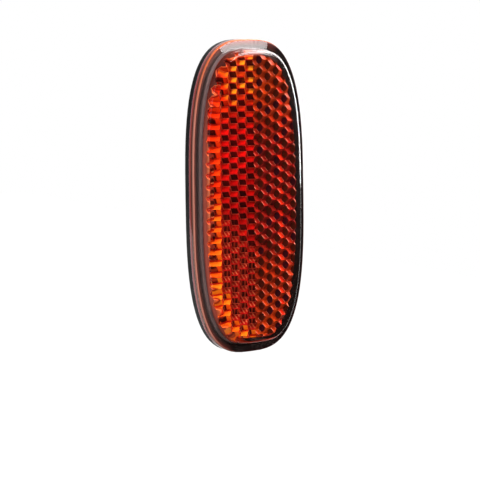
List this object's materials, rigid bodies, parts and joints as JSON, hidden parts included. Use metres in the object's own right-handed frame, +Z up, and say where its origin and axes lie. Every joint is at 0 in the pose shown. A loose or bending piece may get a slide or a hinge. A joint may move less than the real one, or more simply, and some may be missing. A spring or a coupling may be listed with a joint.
{
  "type": "mudguard reflector",
  "caption": "Oblong red bicycle mudguard reflector: clear prism lens welded to a black shell with a captive M5 bolt, washer and nut.",
  "frame": {"origin": "on the bolt's axis, in the plane of the seat rib that rests on the mudguard", "axes": "X across the width, +Z up along the length, the lens faces -Y and the bolt points along +Y"},
  "size_m": [0.035, 0.0288, 0.084],
  "materials": {
    "red_lens": "clear red acrylic, polished",
    "black_shell": "black ABS, satin gloss",
    "zinc_bolt": "bright zinc plated steel",
    "zinc_washer": "bright zinc plated steel",
    "zinc_nut": "bright zinc plated steel"
  },
  "bodies": {
    "root": {"lens": "red_lens", "housing": "black_shell", "bolt": "zinc_bolt", "washer": "zinc_washer", "nut": "zinc_nut"}
  },
  "joints": []
}
